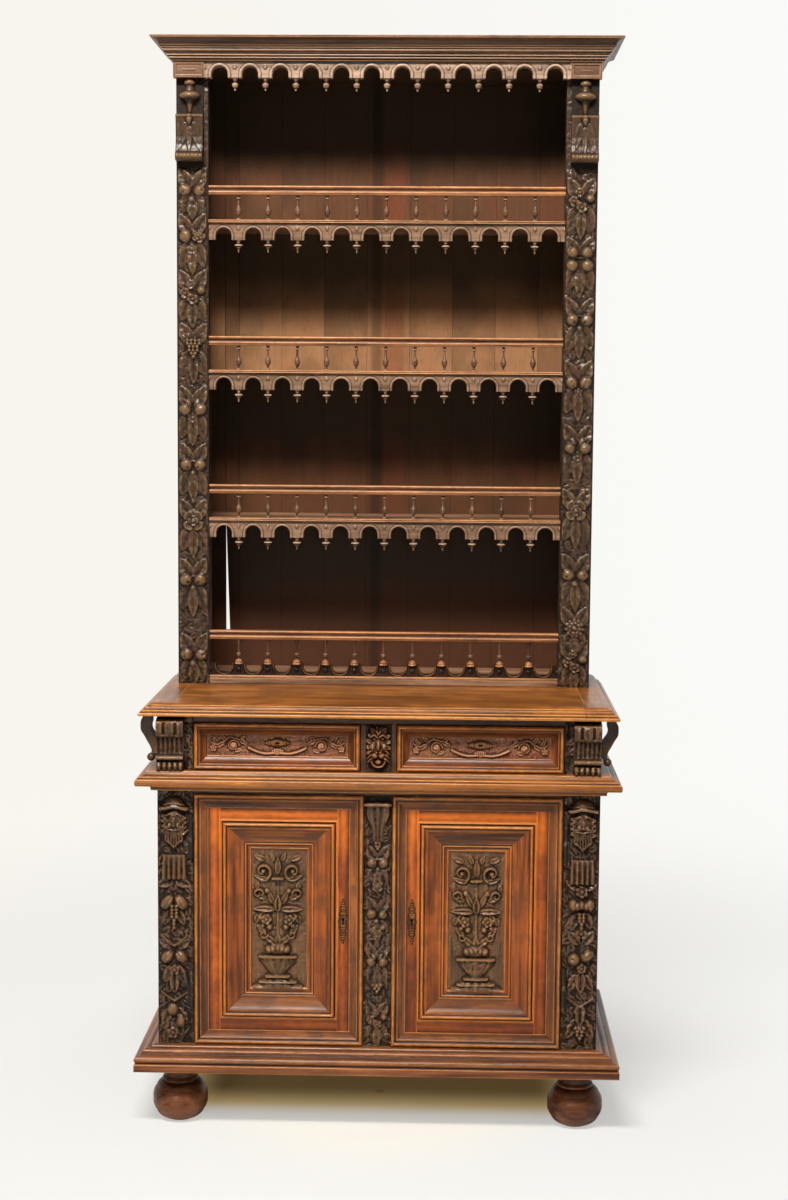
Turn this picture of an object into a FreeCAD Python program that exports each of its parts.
import FreeCAD, Part
import os

# A carved dresser in two stages: a base with two doors and two drawers on bun feet,
# and an open rack of four railed bays under a cornice. Millimetres, +X to the right,
# +Y to the back, +Z up. The origin is on the floor, under the middle of the dresser.

Vector = FreeCAD.Vector
os.makedirs("parts", exist_ok=True)

# Driving dimensions of the whole dresser
depth = 550.0
base_width = 966.0
rack_side_setback = 9.0
rack_setback = 278.0
foot_height = 135.0
plinth_height = 52.0
door_zone_height = 563.0
waist_height = 52.0
frieze_height = 122.0
top_thickness = 26.0
bay_pitch = 337.0
bay_count = 4
head_extra_height = 9.0
cornice_height = 50.0

# How far the mouldings stand out from the walls that they run round
plinth_overhang = 49.0
waist_overhang = 44.0
top_overhang = 37.0
cornice_overhang = 45.0

# Thicknesses and clearances that many pieces share
side_thickness = 18.0
back_thickness = 12.0
rail_thickness = 26.0
door_thickness = 24.0
running_gap = 1.5
slide_gap = 0.4
pin_gap = 0.05

# Front posts of the base, the stile between the doors and the stiles of the rack
post_width = 79.0
post_depth = 55.0
centre_width = 60.0
rack_stile_width = 72.0
rack_stile_depth = 45.0

# Heights that follow from the values above
plinth_top = foot_height + plinth_height
waist_bottom = plinth_top + door_zone_height
waist_top = waist_bottom + waist_height
frieze_top = waist_top + frieze_height
top_surface = frieze_top + top_thickness

# Planes that follow from the values above
case_half = base_width / 2
case_face = plinth_overhang - depth / 2
case_back = depth / 2
rail_back = case_face + rail_thickness
post_back = case_face + post_depth
post_inner = case_half - post_width
side_inner = case_half - side_thickness
back_face = case_back - back_thickness
rack_half = case_half - rack_side_setback
rack_face = case_face + rack_setback
rack_stile_back = rack_face + rack_stile_depth
bay_half = rack_half - rack_stile_width
rack_side_inner = rack_half - side_thickness


# Helpers that turn outlines into solids. A point of four numbers ends an arc, and its
# last two numbers are the point that the arc passes through.

def block(x_low, x_high, y_low, y_high, z_low, z_high):
    """A box between two opposite corners."""
    corner = Vector(x_low, y_low, z_low)
    return Part.makeBox(x_high - x_low, y_high - y_low, z_high - z_low, corner)


def outline_face(points, place):
    """The face inside an outline, with each flat point put in space by place."""
    edges = []
    previous = place(points[0][0], points[0][1])
    for point in points[1:] + [points[0][:2]]:
        end = place(point[0], point[1])
        if len(point) == 4:
            middle = place(point[2], point[3])
            edges.append(Part.Arc(previous, middle, end).toShape())
        else:
            edges.append(Part.makeLine(previous, end))
        previous = end
    return Part.Face(Part.Wire(edges))


def along_x(points, x_low, x_high):
    """An outline of (y, z) points carried along X."""
    face = outline_face(points, lambda y, z: Vector(x_low, y, z))
    return face.extrude(Vector(x_high - x_low, 0, 0))


def along_y(points, y_low, y_high):
    """An outline of (x, z) points carried along Y."""
    face = outline_face(points, lambda x, z: Vector(x, y_low, z))
    return face.extrude(Vector(0, y_high - y_low, 0))


def along_z(points, z_low, z_high):
    """An outline of (x, y) points carried along Z."""
    face = outline_face(points, lambda x, y: Vector(x, y, z_low))
    return face.extrude(Vector(0, 0, z_high - z_low))


def turned(points, x, y, z):
    """An outline of (radius, height) points turned about a vertical axis."""
    face = outline_face(points, lambda radius, height: Vector(radius, 0, height))
    solid = face.revolve(Vector(0, 0, 0), Vector(0, 0, 1), 360)
    solid.translate(Vector(x, y, z))
    return solid


def egg(x, y, z, half_x, half_y, half_z):
    """An ellipsoid with its centre and its three half sizes."""
    stretch = FreeCAD.Matrix()
    stretch.scale(half_x, half_y, half_z)
    solid = Part.makeSphere(1).transformGeometry(stretch)
    solid.translate(Vector(x, y, z))
    return solid


def remapped(points, change):
    """The points of an outline after the same change to each pair of numbers."""
    moved = []
    for point in points:
        pairs = [change(point[at], point[at + 1]) for at in range(0, len(point), 2)]
        moved.append(sum(pairs, ()))
    return moved


def sized(shares, width, height, low=0.0):
    """An outline given as shares of a width and a height, stood on a level."""
    return remapped(shares, lambda across, up: (across * width, low + up * height))


def other_side(shape):
    """The same shape on the other side of the dresser."""
    return shape.mirror(Vector(0, 0, 0), Vector(1, 0, 0))


def joined(first, others):
    """One solid from a body and the lumps that stand on it."""
    return first.fuse(others).removeSplitter()


def save(name, *solids):
    """One file for a sub-part, which may hold several solids."""
    shape = solids[0] if len(solids) == 1 else Part.makeCompound(list(solids))
    shape.exportStep("parts/" + name + ".step")


def save_pair(name, left_solids):
    """A sub-part of the left side, and its mirror image on the right."""
    save(name + "_left", *left_solids)
    save(name + "_right", *[other_side(solid) for solid in left_solids])


def wrapped_moulding(section, half_width, front, back, reach, inner):
    """Three mitred runs of one section round the front and the two sides of a case.
    The section's points are (out, height), with out measured from the case."""
    front_section = remapped(section, lambda out, up: (front - out, up))
    side_section = remapped(section, lambda out, up: (half_width + out, up))
    front_run = along_x(front_section, -half_width - reach, half_width + reach)
    side_run = along_y(side_section, front - reach, back)
    low = min(point[1] for point in section)
    high = max(point[1] for point in section)
    inside = (half_width - inner, front + inner)
    outside = (half_width + reach, front - reach)
    front_zone = [(-inside[0], inside[1]), (-outside[0], outside[1]), outside, inside]
    side_zone = [inside, outside, (outside[0], back), (inside[0], back)]
    front_piece = front_run.common(along_z(front_zone, low, high)).Solids[0]
    right_piece = side_run.common(along_z(side_zone, low, high)).Solids[0]
    return [front_piece, right_piece, other_side(right_piece)]


def mitred_ring(section, x_low, x_high, z_low, z_high, face_y, width):
    """Four mitred strips round a rectangle. The section's points are (in, proud), with
    in measured from the outer edge and proud measured forward from the face."""
    across = remapped(section, lambda inward, proud: (face_y - proud, z_low + inward))
    upright = remapped(section, lambda inward, proud: (x_low + inward, face_y - proud))
    front = min(min(point[::2]) for point in across)
    back = max(max(point[::2]) for point in across)
    bottom_zone = [(x_low, z_low), (x_high, z_low), (x_high - width, z_low + width),
                   (x_low + width, z_low + width)]
    left_zone = [(x_low, z_low), (x_low + width, z_low + width),
                 (x_low + width, z_high - width), (x_low, z_high)]
    bottom_bar = along_x(across, x_low, x_high)
    left_bar = along_z(upright, z_low, z_high)
    bottom = bottom_bar.common(along_y(bottom_zone, front, back)).Solids[0]
    left = left_bar.common(along_y(left_zone, front, back)).Solids[0]
    middle = Vector((x_low + x_high) / 2, 0, (z_low + z_high) / 2)
    top = bottom.mirror(middle, Vector(0, 0, 1))
    right = left.mirror(middle, Vector(1, 0, 0))
    return [bottom, left, top, right]


# Bun feet

foot_radius = 61.0
foot_neck_radius = 37.0
foot_pad_height = 12.0
foot_ball_height = 76.0
foot_centre_in = 41.0
foot_centre_back = 53.0
back_foot_centre_in = 73.0


def bun_foot(x, y):
    """A round pad, a squashed ball and a neck that is doweled into the plinth."""
    ball_top = foot_pad_height + foot_ball_height
    ball_middle = foot_pad_height + foot_ball_height / 2
    points = [(0, 0), (foot_neck_radius, 0), (foot_neck_radius, foot_pad_height),
              (foot_neck_radius, ball_top, foot_radius, ball_middle),
              (foot_neck_radius, foot_height), (0, foot_height)]
    return turned(points, x, y, 0)


foot_x = case_half - foot_centre_in
save_pair("bun_foot_front", [bun_foot(-foot_x, case_face + foot_centre_back)])
save_pair("bun_foot_back", [bun_foot(-foot_x, case_back - back_foot_centre_in)])


# Plinth: a moulded frame of three mitred runs that carries the case

plinth_frame_width = 96.0
plinth_shares = [(0, 0), (1, 0), (1, 0.29), (0.9, 0.33), (0.9, 0.42), (0.9, 0.62, 0.98, 0.52),
                 (0.62, 0.66), (0.56, 0.76), (0.28, 0.84), (0.24, 0.94), (0, 1)]
plinth_outline = sized(plinth_shares, plinth_overhang, plinth_height, foot_height)
plinth_section = plinth_outline + [(-plinth_frame_width, plinth_top),
                                   (-plinth_frame_width, foot_height)]
save("plinth_moulding", *wrapped_moulding(plinth_section, case_half, case_face, case_back,
                                          plinth_overhang, plinth_frame_width))


# Bottom board, cupboard shelf and dust board: level boards between the sides

board_thickness = 18.0
dust_board_thickness = 10.0
cupboard_shelf_share = 0.5
cupboard_shelf_setback = 12.0


def case_board(z_low, z_high):
    """A board that fills the case, with a tongue that runs forward between the posts."""
    board = block(-side_inner, side_inner, post_back, back_face, z_low, z_high)
    tongue = block(-post_inner, post_inner, rail_back, post_back, z_low, z_high)
    return joined(board, [tongue])


save("bottom_board", case_board(plinth_top, plinth_top + board_thickness))
save("dust_board", case_board(waist_top - dust_board_thickness, waist_top))
shelf_level = plinth_top + door_zone_height * cupboard_shelf_share
save("cupboard_shelf", block(-side_inner, side_inner, post_back + cupboard_shelf_setback, back_face,
                             shelf_level, shelf_level + board_thickness))


# Sides and back of the base

side_frame_width = 70.0
side_recess = 6.0
side_field_margin = 16.0
side_field_rise = 4.0


def side_panel(z_low, z_high):
    """What is cut from a side so that a raised field stands in a sunk frame."""
    y_low = post_back + side_frame_width / 2
    y_high = case_back - side_frame_width
    sunk = block(-case_half, side_recess - case_half, y_low, y_high, z_low, z_high)
    field = block(side_recess - side_field_rise - case_half, side_recess - case_half,
                  y_low + side_field_margin, y_high - side_field_margin,
                  z_low + side_field_margin, z_high - side_field_margin)
    return sunk.cut(field)


def base_side():
    """The left side: a frame with a tall raised field below the waist."""
    board = block(-case_half, -side_inner, post_back, case_back, plinth_top, frieze_top)
    lower = side_panel(plinth_top + side_frame_width, waist_bottom - side_frame_width)
    return board.cut(lower)


save_pair("base_side", [base_side()])
save("base_back", block(-side_inner, side_inner, back_face, case_back, plinth_top, frieze_top))


# Carved posts and stiles. Clusters of fruit stand on their faces, each a ring of balls.

fruit_radius = 13.0
fruit_rise = 4.0
cluster_radius = 14.0
cluster_turn_shares = [(0, 1), (0.87, -0.5), (-0.87, -0.5)]


def fruit_cluster(x, face_y, z):
    """Three fruits in a triangle, sunk into the face that carries them."""
    balls = []
    forward = Vector(0, -1, 0)
    for across_share, up_share in cluster_turn_shares:
        centre = Vector(x + across_share * cluster_radius, face_y - fruit_rise,
                        z + up_share * cluster_radius)
        balls.append(Part.makeSphere(fruit_radius, centre, forward))
    return balls


# Heads and clusters of a base post, as shares of the height between plinth and waist
mask_share = 0.895
hat_share = 0.955
drape_share = 0.755
post_cluster_shares = [0.56, 0.43, 0.28, 0.12]
mask_half_width = 23.0
mask_half_depth = 19.0
mask_half_height = 33.0
hat_half_width = 30.0
hat_half_depth = 17.0
hat_half_height = 8.0
drape_half_width = 24.0
drape_half_depth = 9.0
drape_half_height = 22.0
post_centre = case_half - post_width / 2


def base_post():
    """The left front post with a masked head, a drape and hanging fruit."""
    post = block(-case_half, -post_inner, case_face, post_back, plinth_top, frieze_top)
    lumps = [egg(-post_centre, case_face, plinth_top + mask_share * door_zone_height,
                 mask_half_width, mask_half_depth, mask_half_height),
             egg(-post_centre, case_face, plinth_top + hat_share * door_zone_height,
                 hat_half_width, hat_half_depth, hat_half_height),
             egg(-post_centre, case_face, plinth_top + drape_share * door_zone_height,
                 drape_half_width, drape_half_depth, drape_half_height)]
    for share in post_cluster_shares:
        lumps += fruit_cluster(-post_centre, case_face, plinth_top + share * door_zone_height)
    return joined(post, lumps)


save_pair("base_post", [base_post()])

# The stile between the doors has a fluted bracket at its head
bracket_half_width = 23.0
bracket_low_half_width = 13.0
bracket_projection = 16.0
bracket_low_share = 0.80
bracket_high_share = 0.97
centre_cluster_shares = [0.71, 0.57, 0.44, 0.31, 0.14]
centre_half = centre_width / 2


def centre_stile():
    """A flat stile with a tapered bracket and a string of fruit."""
    stile = block(-centre_half, centre_half, case_face, rail_back, plinth_top, waist_bottom)
    low = plinth_top + bracket_low_share * door_zone_height
    high = plinth_top + bracket_high_share * door_zone_height
    taper = [(-bracket_low_half_width, low), (bracket_low_half_width, low),
             (bracket_half_width, high), (-bracket_half_width, high)]
    lumps = [along_y(taper, case_face - bracket_projection, case_face)]
    for share in centre_cluster_shares:
        lumps += fruit_cluster(0, case_face, plinth_top + share * door_zone_height)
    return joined(stile, lumps)


save("centre_stile", centre_stile())


# Rails, the upright between the drawers and the strips that guide them

top_rail_height = 17.0
divider_half = 39.0
divider_web_thickness = 18.0
drawer_box_inset = 3.0
guide_width = 18.0
guide_height = 14.0
guide_back_gap = 54.0
top_rail_bottom = frieze_top - top_rail_height
drawer_outer = post_inner - running_gap
drawer_inner = divider_half + running_gap

save("front_rails",
     block(-post_inner, post_inner, case_face, rail_back, waist_bottom, waist_top),
     block(-post_inner, post_inner, case_face, rail_back, top_rail_bottom, frieze_top))


def drawer_divider():
    """A short upright between the drawers, with a thin wall behind it."""
    upright = block(-divider_half, divider_half, case_face, rail_back, waist_top, top_rail_bottom)
    web_half = divider_web_thickness / 2
    web = block(-web_half, web_half, rail_back, back_face, waist_top, top_rail_bottom)
    return joined(upright, [web])


def drawer_guides():
    """A strip on the dust board at each flank of each drawer."""
    strips = []
    guide_front = post_back + slide_gap
    outer_low = drawer_outer - drawer_box_inset + slide_gap
    inner_high = drawer_inner + drawer_box_inset - slide_gap
    for x_low in (outer_low, inner_high - guide_width):
        strip = block(x_low, x_low + guide_width, guide_front, back_face - guide_back_gap,
                      waist_top, waist_top + guide_height)
        strips += [strip, other_side(strip)]
    return strips


save("drawer_divider", drawer_divider())
save("drawer_guides", *drawer_guides())


# Waist moulding between the doors and the drawers

waist_moulding_height = 45.0
waist_moulding_bottom = waist_top - waist_moulding_height
waist_shares = [(0, 0), (0.3, 0), (0.3, 0.1), (0.72, 0.3, 0.42, 0.26), (0.94, 0.32),
                (0.94, 0.64, 1.0, 0.48), (0.8, 0.66), (0.8, 0.78), (0.52, 0.92, 0.6, 0.8),
                (0.48, 1), (0, 1)]
waist_section = sized(waist_shares, waist_overhang, waist_moulding_height, waist_moulding_bottom)
save("waist_moulding", *wrapped_moulding(waist_section, case_half, case_face, case_back,
                                         waist_overhang, 0.0))


# Consoles that carry the top board over each front post

console_width = 59.0
console_outer_margin = 1.0
console_shares = [(0, 0), (0.7, 0), (0.82, 0.08), (0.72, 0.19), (1, 0.2), (1, 0.27), (0.6, 0.28),
                  (0.62, 0.62, 0.52, 0.44), (0.95, 0.93, 0.97, 0.74), (0.9, 1), (0, 1)]
console_projection = 32.0
ear_depth = 40.0
ear_front_margin = 6.0
ear_width = 32.0
ear_height = 88.0
ear_shares = [(0, 0), (0.2, 0), (0.74, 0.5, 0.5, 0.26), (0.84, 1, 1.0, 0.78), (0.53, 1),
              (0, 0.41, 0.42, 0.68)]
ear_roll_radius = 7.0


def front_console():
    """A fluted console on the left front post, over a gadrooned foot."""
    points = sized(console_shares, console_projection, frieze_height, waist_top)
    outline = remapped(points, lambda out, up: (case_face - out, up))
    x_low = console_outer_margin - case_half
    return along_x(outline, x_low, x_low + console_width)


def side_ear():
    """A curved ear on the left flank, with a roll at its lower end."""
    points = sized(ear_shares, ear_width, ear_height, frieze_top - ear_height)
    outline = remapped(points, lambda out, up: (-case_half - out, up))
    y_low = case_face + ear_front_margin
    ear = along_y(outline, y_low, y_low + ear_depth)
    roll_centre = Vector(-case_half - ear_roll_radius, y_low, frieze_top - ear_height)
    roll = Part.makeCylinder(ear_roll_radius, ear_depth, roll_centre, Vector(0, 1, 0))
    return joined(ear, [roll])


save_pair("console", [front_console(), side_ear()])


# Lion mask between the drawers

lion_half_width = 28.0
lion_plate_height = 102.0
lion_plate_thickness = 8.0
lion_head_half_width = 25.0
lion_head_depth = 20.0
lion_head_half_height = 44.0
lion_muzzle_half = 11.0
lion_muzzle_drop = 12.0


def lion_mask():
    """A plate with a maned head and a muzzle that stands out below its middle."""
    middle = (waist_top + top_rail_bottom) / 2
    plate_front = case_face - lion_plate_thickness
    plate = block(-lion_half_width, lion_half_width, plate_front, case_face,
                  middle - lion_plate_height / 2, middle + lion_plate_height / 2)
    head = egg(0, plate_front, middle, lion_head_half_width, lion_head_depth,
               lion_head_half_height)
    muzzle = egg(0, plate_front + lion_muzzle_half - lion_head_depth, middle - lion_muzzle_drop,
                 lion_muzzle_half, lion_muzzle_half, lion_muzzle_half)
    behind = block(-lion_half_width, lion_half_width, case_face, case_back, waist_top, frieze_top)
    return joined(plate, [head, muzzle]).cut(behind)


save("lion_mask", lion_mask())


# Top board of the base, with a moulded edge on three sides and a cross piece at each end

end_piece_width = 74.0
top_shares = [(0, 0), (0.96, 0), (0.96, 0.26, 1, 0.13), (0.86, 0.32), (0.86, 0.5),
              (0.56, 0.74, 0.6, 0.54), (0.5, 0.78), (0.5, 0.86), (0.2, 1), (0, 1)]


def top_board():
    """The whole moulded board, before its end pieces are parted from it."""
    section = sized(top_shares, top_overhang, top_thickness, frieze_top)
    side_view = remapped(section, lambda out, up: (case_face - out, up))
    side_view += [(case_back, top_surface), (case_back, frieze_top)]
    right_edge = remapped(section, lambda out, up: (case_half + out, up))
    left_edge = remapped(section, lambda out, up: (-case_half - out, up))
    long_bar = along_x(side_view, -case_half - top_overhang * 2, case_half + top_overhang * 2)
    right_half = along_y([(0, frieze_top)] + right_edge + [(0, top_surface)],
                         case_face - top_overhang * 2, case_back)
    left_half = along_y([(0, frieze_top)] + left_edge + [(0, top_surface)],
                        case_face - top_overhang * 2, case_back)
    return long_bar.common(right_half.fuse(left_half).removeSplitter()).Solids[0]


top_whole = top_board()
parting = case_half + top_overhang - end_piece_width
middle_zone = block(-parting, parting, -depth, depth, frieze_top, top_surface)
save("top_board", top_whole.common(middle_zone).Solids[0])
save("top_board_ends", *top_whole.cut(middle_zone).Solids)


# Doors. Each is a frame with a bead moulding at its edge, a deep moulding inside and a
# sunk panel. The left one is drawn, and the right one is its mirror image.

door_frame_width = 57.0
edge_ring_width = 31.0
edge_ring_rise = 8.0
edge_ring_shares = [(0, 0), (0, 0.7), (0.3, 0.7, 0.15, 1.12), (0.34, 0.45), (0.44, 0.45),
                    (1, 0.06, 0.66, 0.1), (1, 0)]
inner_ring_width = 68.0
inner_ring_rise = 7.0
panel_sink = 16.0
panel_thickness = 7.0
inner_ring_shares = [(0, 0), (0, 0.9), (0.1, 0.9, 0.05, 1.04), (0.12, 0.8), (0.3, 0.62, 0.18, 0.66),
                     (0.66, 0.42, 0.48, 0.58), (0.7, 0.34), (0.78, 0.3), (0.82, 0.42),
                     (0.92, 0.42), (0.94, 0.24), (1, 0.2), (1, 0)]
panel_boss_side_margin = 8.0
panel_boss_end_margin = 8.0
panel_boss_rise = 4.0
door_low = plinth_top + running_gap
door_high = waist_bottom - running_gap
door_left = running_gap - post_inner
door_right = -centre_half - running_gap
panel_left = door_left + door_frame_width
panel_right = door_right - door_frame_width
panel_low = door_low + door_frame_width
panel_high = door_high - door_frame_width
door_back = case_face + door_thickness


def door_frame():
    """Two stiles and two rails as one flat frame."""
    outer = block(door_left, door_right, case_face, door_back, door_low, door_high)
    hole = block(panel_left, panel_right, case_face, door_back, panel_low, panel_high)
    return outer.cut(hole)


def edge_ring():
    """The four mitred strips of the bead moulding at the door's edge."""
    section = sized(edge_ring_shares, edge_ring_width, edge_ring_rise)
    return mitred_ring(section, door_left, door_right, door_low, door_high, case_face,
                       edge_ring_width)


def inner_ring():
    """The four mitred strips that step down from the frame to the panel."""
    section = sized(inner_ring_shares, inner_ring_width, panel_sink + inner_ring_rise, -panel_sink)
    return mitred_ring(section, panel_left, panel_right, panel_low, panel_high, case_face,
                       inner_ring_width)


def door_panel():
    """The sunk panel, with the plain lump that the carving is cut in."""
    front = case_face + panel_sink
    sheet = block(panel_left, panel_right, front, front + panel_thickness, panel_low, panel_high)
    side = inner_ring_width + panel_boss_side_margin
    end = inner_ring_width + panel_boss_end_margin
    boss = block(panel_left + side, panel_right - side, front - panel_boss_rise, front,
                 panel_low + end, panel_high - end)
    return joined(sheet, [boss])


save_pair("door_frame", [door_frame()])
save_pair("door_moulding", edge_ring() + inner_ring())
save_pair("door_panel", [door_panel()])

# Keyhole plates and locks of the doors
door_plate_width = 24.0
door_plate_height = 104.0
door_plate_thickness = 2.0
plate_end_share = 0.35
keyhole_radius = 3.0
keyhole_slot_width = 3.0
keyhole_slot_length = 9.0
door_lock_width = 60.0
door_lock_height = 72.0
door_lock_thickness = 14.0
door_plate_x = door_right - (edge_ring_width + door_frame_width) / 2
door_plate_z = (door_low + door_high) / 2


def keyhole(x, z, y_low, y_high):
    """A round hole with a slot below it."""
    hole = Part.makeCylinder(keyhole_radius, y_high - y_low, Vector(x, y_low, z), Vector(0, 1, 0))
    slot = block(x - keyhole_slot_width / 2, x + keyhole_slot_width / 2, y_low, y_high,
                 z - keyhole_slot_length, z)
    return hole.fuse(slot)


def door_plate():
    """A tall keyhole plate with narrowed ends."""
    half = door_plate_width / 2
    end = half * plate_end_share
    tall = door_plate_height / 2
    outline = [(-end, -tall), (end, -tall), (half, -tall + half), (half, tall - half),
               (end, tall), (-end, tall), (-half, tall - half), (-half, -tall + half)]
    placed = remapped(outline, lambda x, z: (door_plate_x + x, door_plate_z + z))
    plate_front = case_face - door_plate_thickness
    plate = along_y(placed, plate_front, case_face)
    return plate.cut(keyhole(door_plate_x, door_plate_z, plate_front, case_face))


def door_lock():
    """The flat lock case on the inner face of the door."""
    half = door_lock_width / 2
    return block(door_plate_x - half, door_plate_x + half, door_back, door_back + door_lock_thickness,
                 door_plate_z - door_lock_height / 2, door_plate_z + door_lock_height / 2)


save_pair("door_keyhole_plate", [door_plate()])
save_pair("door_lock", [door_lock()])

# Hinges: a fixed lower knuckle with its pin on the post, and an upper knuckle on the door
hinge_radius = 5.5
hinge_pin_radius = 3.0
hinge_height = 90.0
hinge_out = 5.0
hinge_forward = 7.0
hinge_leaf_thickness = 1.0
hinge_leaf_gap = 0.1
hinge_leaf_reach = 18.0
hinge_foot_reach = 9.0
hinge_tip_radius = 4.0
hinge_low_share = 0.24
hinge_high_share = 0.83
hinge_x = -post_inner - hinge_out
hinge_y = case_face - hinge_forward
hinge_half = hinge_height / 2
hinge_levels = [plinth_top + share * door_zone_height
                for share in (hinge_low_share, hinge_high_share)]


def post_hinge(z):
    """The lower knuckle, its pin and the foot that is screwed to the post."""
    upright = Vector(0, 0, 1)
    base = Vector(hinge_x, hinge_y, z - hinge_half)
    knuckle = Part.makeCylinder(hinge_radius, hinge_half - slide_gap, base, upright)
    pin = Part.makeCylinder(hinge_pin_radius, hinge_height, base, upright)
    foot = block(hinge_x - hinge_foot_reach, hinge_x + hinge_out - slide_gap, hinge_y, case_face,
                 z - hinge_half, z - slide_gap)
    return joined(knuckle, [pin, foot])


def door_hinge(z):
    """The upper knuckle with its bore, and the leaf that is let into the door's edge."""
    upright = Vector(0, 0, 1)
    base = Vector(hinge_x, hinge_y, z)
    knuckle = Part.makeCylinder(hinge_radius, hinge_half, base, upright)
    tip = Part.makeSphere(hinge_tip_radius, Vector(hinge_x, hinge_y, z + hinge_half))
    bore = Part.makeCylinder(hinge_pin_radius + pin_gap, hinge_half + slide_gap, base, upright)
    leaf_right = door_left - hinge_leaf_gap
    leaf_left = leaf_right - hinge_leaf_thickness
    leaf = block(leaf_left, leaf_right, hinge_y - hinge_out, case_face + hinge_leaf_reach,
                 z, z + hinge_half)
    return joined(knuckle, [tip, leaf]).cut(bore)


post_hinges = [post_hinge(z) for z in hinge_levels]
save("post_hinges", *post_hinges, *[other_side(hinge) for hinge in post_hinges])
save_pair("door_hinges", [door_hinge(z) for z in hinge_levels])


# Drawers. The left one is drawn, and the right one is its mirror image.

drawer_front_thickness = 20.0
drawer_ring_width = 28.0
drawer_ring_rise = 8.0
drawer_sink = 14.0
drawer_ring_shares = [(0, 0), (0, 0.86), (0.24, 0.86, 0.12, 1.06), (0.27, 0.74),
                      (0.42, 0.6, 0.32, 0.62), (0.9, 0.16), (1, 0.12), (1, 0)]
drawer_back_gap = 25.0
drawer_side_thickness = 12.0
drawer_side_height = 88.0
drawer_back_height = 74.0
drawer_bottom_thickness = 6.0
drawer_bottom_rise = 10.0
drawer_plate_half_width = 31.0
drawer_plate_half_height = 13.0
drawer_plate_rise = 4.0
drawer_lock_width = 56.0
drawer_lock_height = 42.0
drawer_lock_thickness = 11.0
drawer_low = waist_top + running_gap
drawer_high = top_rail_bottom - running_gap
drawer_left = -drawer_outer
drawer_right = -drawer_inner
drawer_middle_x = (drawer_left + drawer_right) / 2
drawer_middle_z = (drawer_low + drawer_high) / 2
drawer_field = case_face + drawer_sink
drawer_front_back = case_face + drawer_sink + drawer_front_thickness
box_left = drawer_left + drawer_box_inset
box_right = drawer_right - drawer_box_inset
box_low = waist_top + slide_gap
box_back = back_face - drawer_back_gap


def drawer_front():
    """A board behind a sunk field, and the four mitred strips round the field."""
    board = block(drawer_left, drawer_right, drawer_field, drawer_front_back, drawer_low, drawer_high)
    section = sized(drawer_ring_shares, drawer_ring_width, drawer_sink + drawer_ring_rise, -drawer_sink)
    ring = mitred_ring(section, drawer_left, drawer_right, drawer_low, drawer_high, case_face,
                       drawer_ring_width)
    return [board] + ring


def drawer_walls():
    """Two sides and a back."""
    side_top = box_low + drawer_side_height
    outer = block(box_left, box_left + drawer_side_thickness, drawer_front_back, box_back,
                  box_low, side_top)
    inner = block(box_right - drawer_side_thickness, box_right, drawer_front_back, box_back,
                  box_low, side_top)
    back_low = box_low + drawer_bottom_rise + drawer_bottom_thickness
    back = block(box_left + drawer_side_thickness, box_right - drawer_side_thickness,
                 box_back - drawer_side_thickness, box_back, back_low, box_low + drawer_back_height)
    return [outer, inner, back]


def drawer_bottom():
    """The thin bottom between the two sides, under the back."""
    low = box_low + drawer_bottom_rise
    return block(box_left + drawer_side_thickness, box_right - drawer_side_thickness,
                 drawer_front_back, box_back, low, low + drawer_bottom_thickness)


def drawer_plate():
    """A low domed oval with a level keyhole slot."""
    dome = egg(drawer_middle_x, drawer_field, drawer_middle_z, drawer_plate_half_width,
               drawer_plate_rise, drawer_plate_half_height)
    front_zone = block(drawer_left, drawer_right, case_face, drawer_field, drawer_low, drawer_high)
    slot = block(drawer_middle_x - keyhole_slot_length / 2, drawer_middle_x + keyhole_slot_length / 2,
                 case_face, drawer_field, drawer_middle_z - keyhole_slot_width / 2,
                 drawer_middle_z + keyhole_slot_width / 2)
    return dome.common(front_zone).cut(slot).Solids[0]


def drawer_lock():
    """The lock case behind the drawer's front."""
    half = drawer_lock_width / 2
    return block(drawer_middle_x - half, drawer_middle_x + half, drawer_front_back,
                 drawer_front_back + drawer_lock_thickness, drawer_middle_z - drawer_lock_height / 2,
                 drawer_middle_z + drawer_lock_height / 2)


save_pair("drawer_front", drawer_front())
save_pair("drawer_walls", drawer_walls())
save_pair("drawer_bottom", [drawer_bottom()])
save_pair("drawer_keyhole_plate", [drawer_plate()])
save_pair("drawer_lock", [drawer_lock()])


# Rack: stiles, sides and back boards

gallery_foot_height = 48.0
gallery_height = 76.0
rail_height = 21.0
shelf_thickness = 16.0
lip_thickness = 7.0
apron_height = 38.0
rack_floor_thickness = 14.0
rack_clusters_per_bay = 3
rack_cluster_first = 85.0
back_board_count = 9
back_board_gap = 0.3
gallery_base = top_surface + gallery_foot_height
rack_top_level = gallery_base + bay_count * bay_pitch + head_extra_height
rack_top_thickness = 16.0
stile_top = rack_top_level - rack_top_thickness
rack_stile_centre = rack_half - rack_stile_width / 2


def rack_stile():
    """The left stile of the rack, with fruit down its face below the console."""
    stile = block(-rack_half, -bay_half, rack_face, rack_stile_back, top_surface, stile_top)
    lumps = []
    cluster_pitch = bay_pitch / rack_clusters_per_bay
    cluster_count = rack_clusters_per_bay * (bay_count - 1) + 1
    for index in range(cluster_count):
        level = top_surface + rack_cluster_first + index * cluster_pitch
        lumps += fruit_cluster(-rack_stile_centre, rack_face, level)
    return joined(stile, lumps)


def back_boards():
    """Upright boards that stand side by side between the rack's sides."""
    boards = []
    board_width = 2 * rack_side_inner / back_board_count
    for index in range(back_board_count):
        x_low = index * board_width - rack_side_inner
        boards.append(block(x_low, x_low + board_width - back_board_gap, back_face, case_back,
                            top_surface, stile_top))
    return boards


save_pair("rack_stile", [rack_stile()])
save_pair("rack_side", [block(-rack_half, -rack_side_inner, rack_stile_back, case_back, top_surface,
                              stile_top)])
save("rack_back", *back_boards())


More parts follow.
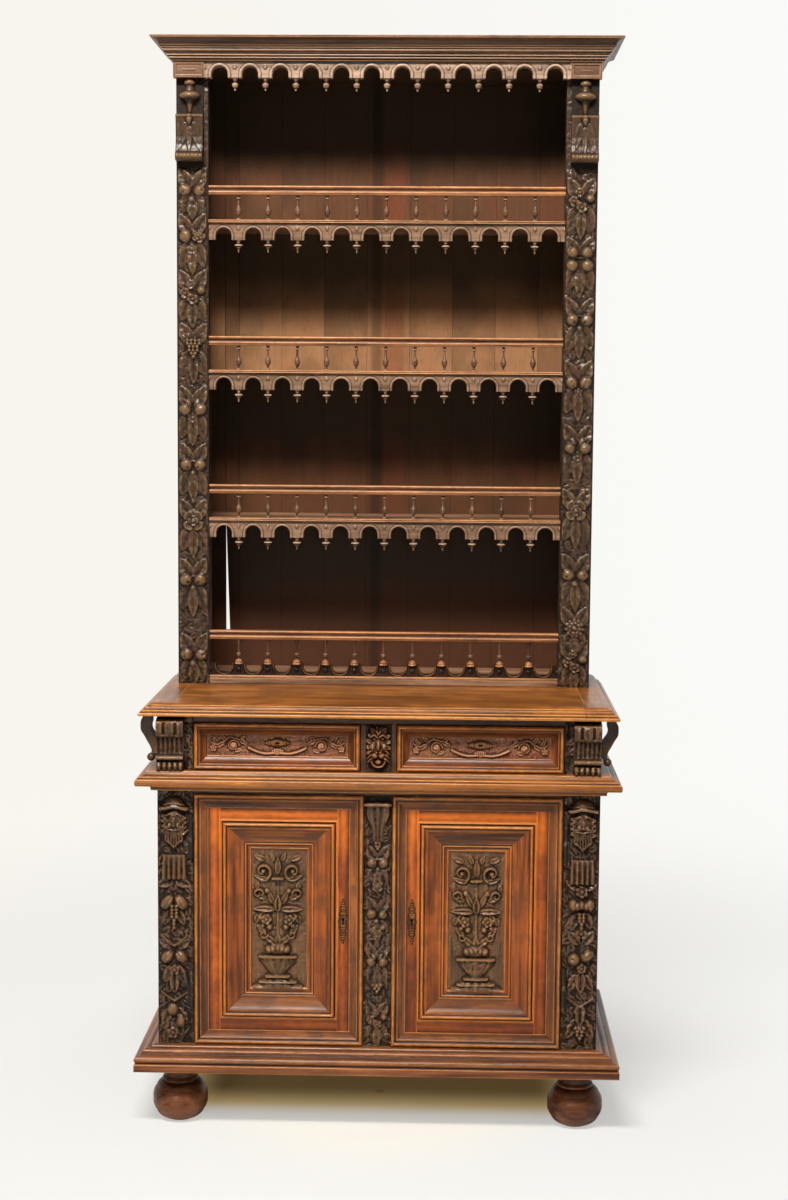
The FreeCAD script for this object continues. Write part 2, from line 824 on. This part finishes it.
# Shelves of the rack. A thin lip at the front edge covers the board below it.

apron_setback = 5.0
apron_thickness = 12.0
gallery_levels = [gallery_base + index * bay_pitch for index in range(bay_count)]
apron_front = rack_face + apron_setback
apron_back = apron_front + apron_thickness


def rack_shelf(top):
    """A shelf notched round the stiles, thinner where it laps over its apron."""
    wide = block(-rack_side_inner, rack_side_inner, rack_stile_back, back_face, top - shelf_thickness, top)
    narrow = block(-bay_half, bay_half, apron_back, rack_stile_back, top - shelf_thickness, top)
    lip = block(-bay_half, bay_half, rack_face, apron_back, top - lip_thickness, top)
    return joined(wide, [narrow, lip])


def rack_floor():
    """The lowest board, which lies on the top of the base."""
    top = top_surface + rack_floor_thickness
    wide = block(-rack_side_inner, rack_side_inner, rack_stile_back, back_face, top_surface, top)
    narrow = block(-bay_half, bay_half, rack_face, rack_stile_back, top_surface, top)
    return joined(wide, [narrow])


save("rack_shelves", rack_floor(), *[rack_shelf(level) for level in gallery_levels[1:]])
save("rack_top", block(-rack_half, rack_half, rack_face, case_back, stile_top, rack_top_level))


# Arcades: boards with a row of round arches, under each shelf, under the cornice and,
# turned over, under the lowest rail

arch_count = 12
arch_width_share = 0.57
arch_crown_share = 0.70
foot_arch_bottom = 10.0
fascia_projection = 24.0
fascia_height = 36.0
corner_block_inner = 408.0
corner_overhang = 4.0
corner_block_sink = 3.0
corner_block_margin = 7.0
cornice_half = rack_half + corner_overhang
fascia_front = rack_face - fascia_projection


def arch_row(half_span, y_low, y_high, foot, crown, turned_over):
    """The row of cutters for the arches of one board. The arches open at foot and are
    rounded at crown; turned_over puts the crown below the foot."""
    cutters = []
    pitch = 2 * half_span / arch_count
    half = pitch * arch_width_share / 2
    way = -1 if turned_over else 1
    spring = crown - way * half
    for index in range(arch_count):
        middle = (index + 0.5) * pitch - half_span
        points = [(middle - half, foot), (middle - half, spring),
                  (middle + half, spring, middle, crown), (middle + half, foot)]
        cutters.append(along_y(points, y_low, y_high))
    return cutters


def apron(level):
    """The arcaded board that hangs below a shelf's lip."""
    high = level - lip_thickness
    low = high - apron_height
    board = block(-bay_half, bay_half, apron_front, apron_back, low, high)
    crown = low + apron_height * arch_crown_share
    return board.cut(arch_row(bay_half, apron_front, apron_back, low, crown, False))


def cornice_apron():
    """The arcaded board under the cornice, with a sunk block at each end."""
    low = rack_top_level - fascia_height
    crown = low + fascia_height * arch_crown_share
    board = block(-corner_block_inner, corner_block_inner, fascia_front, rack_face, low, rack_top_level)
    arcade = board.cut(arch_row(corner_block_inner, fascia_front, rack_face, low, crown, False))
    corner = block(corner_block_inner, cornice_half, fascia_front, rack_face, low, rack_top_level)
    sunk = block(corner_block_inner + corner_block_margin, cornice_half - corner_block_margin,
                 fascia_front, fascia_front + corner_block_sink,
                 low + corner_block_margin, rack_top_level - corner_block_margin)
    corner = corner.cut(sunk)
    return [arcade, corner, other_side(corner)]


def foot_arcade():
    """The arcaded board on the rack's floor, with its arches turned over."""
    low = top_surface + rack_floor_thickness
    board = block(-bay_half, bay_half, apron_front, apron_back, low, gallery_base)
    crown = low + foot_arch_bottom
    return board.cut(arch_row(bay_half, apron_front, apron_back, gallery_base, crown, True))


save("arcades", foot_arcade(), *[apron(level) for level in gallery_levels[1:]])
save("cornice_apron", *cornice_apron())


# Galleries: a rail on a row of small turned balusters, and turned drops below the aprons

rail_depth = 18.0
rail_shares = [(0, 0), (1, 0), (1, 0.72), (0.86, 0.76), (0.86, 0.84), (0.5, 1, 0.76, 0.95),
               (0.14, 0.84, 0.24, 0.95), (0.14, 0.76), (0, 0.72)]
baluster_radius = 6.5
baluster_neck_share = 0.36
drop_radius = 9.0
drop_length = 28.0
drop_neck_share = 0.28
gallery_axis = (apron_front + apron_back) / 2
rail_front = gallery_axis - rail_depth / 2
baluster_height = gallery_height - rail_height


def gallery_rail(level):
    """A rail with a rounded top edge, between the two stiles."""
    low = level + baluster_height
    points = sized(rail_shares, rail_depth, rail_height, low)
    return along_x(remapped(points, lambda y, z: (rail_front + y, z)), -bay_half, bay_half)


def baluster(x, y, z):
    """A base ring, a low bulb and a slender spindle."""
    shares = [(0, 0), (0.8, 0), (0.8, 0.08), (baluster_neck_share, 0.14), (baluster_neck_share, 0.24),
              (baluster_neck_share, 0.54, 1.0, 0.38), (baluster_neck_share, 0.84),
              (0.75, 0.9), (0.75, 1), (0, 1)]
    return turned(sized(shares, baluster_radius, baluster_height), x, y, z)


def drop(x, y, z_high):
    """A neck, a disc and a pointed tip that hang below an apron."""
    shares = [(0, 0), (0.22, 0.06), (drop_neck_share, 0.36), (1, 0.5), (1, 0.62), (drop_neck_share, 0.72),
              (drop_neck_share, 0.9), (0.5, 1), (0, 1)]
    return turned(sized(shares, drop_radius, drop_length), x, y, z_high - drop_length)


def post_places(half_span):
    """The middles of the posts between the arches."""
    pitch = 2 * half_span / arch_count
    return [index * pitch - half_span for index in range(1, arch_count)]


save("gallery_rails", *[gallery_rail(level) for level in gallery_levels])
save("balusters", *[baluster(x, gallery_axis, level) for level in gallery_levels
                    for x in post_places(bay_half)])
apron_drops = [drop(x, gallery_axis, level - lip_thickness - apron_height)
               for level in gallery_levels[1:] for x in post_places(bay_half)]
fascia_axis = fascia_front + fascia_projection / 2
cornice_drops = [drop(x, fascia_axis, rack_top_level - fascia_height)
                 for x in post_places(corner_block_inner)]
save("apron_drops", *apron_drops, *cornice_drops)


# Consoles at the head of the rack's stiles, each with a half-turned drop on its face

head_console_width = 61.0
head_console_height = 194.0
head_console_outer_margin = 1.0
head_console_projection = 34.0
head_console_shares = [(0, 0), (0.45, 0.01), (1, 0.09), (1, 0.13), (0.72, 0.16), (0.5, 0.34),
                       (0.6, 0.58), (0.8, 0.6), (0.8, 0.63), (0.24, 0.66), (0.24, 1), (0, 1)]
head_drop_radius = 25.0
head_drop_shares = [(0, 0), (0.3, 0), (0.5, 0.3, 0.34, 0.16), (0.6, 0.42), (1, 0.48), (1, 0.58),
                    (0.5, 0.7, 0.72, 0.6), (0.26, 0.8), (0.26, 0.9), (0.5, 1), (0, 1)]


def head_console():
    """A carved block on the left stile, and the half drop in its upper recess."""
    high = rack_top_level - fascia_height
    low = high - head_console_height
    points = sized(head_console_shares, head_console_projection, head_console_height, low)
    outline = remapped(points, lambda out, up: (rack_face - out, up))
    x_low = head_console_outer_margin - rack_half
    console = along_x(outline, x_low, x_low + head_console_width)
    plane = rack_face - head_console_projection * head_console_shares[-2][0]
    drop_height = head_console_height * (1 - head_console_shares[-3][1])
    whole = turned(sized(head_drop_shares, head_drop_radius, drop_height),
                   x_low + head_console_width / 2, plane, high - drop_height)
    front_zone = block(-rack_half, -bay_half, fascia_front - fascia_projection, plane,
                       low, high)
    return [console, whole.common(front_zone).Solids[0]]


consoles = head_console()
save("head_consoles", *consoles, *[other_side(solid) for solid in consoles])


# Cornice: three mitred runs on the rack's top board

cornice_frame_width = 62.0
cornice_shares = [(0, 0), (0.14, 0), (0.14, 0.12), (0.22, 0.16), (0.3, 0.3), (0.36, 0.32), (0.4, 0.5),
                  (0.5, 0.54), (0.52, 0.6), (0.94, 0.9, 0.62, 0.82), (1, 0.92), (1, 1)]
cornice_section = (sized(cornice_shares, cornice_overhang, cornice_height, rack_top_level)
                   + [(-cornice_frame_width, rack_top_level + cornice_height),
                      (-cornice_frame_width, rack_top_level)])
save("cornice", *wrapped_moulding(cornice_section, cornice_half, fascia_front, case_back,
                                  cornice_overhang, cornice_frame_width))
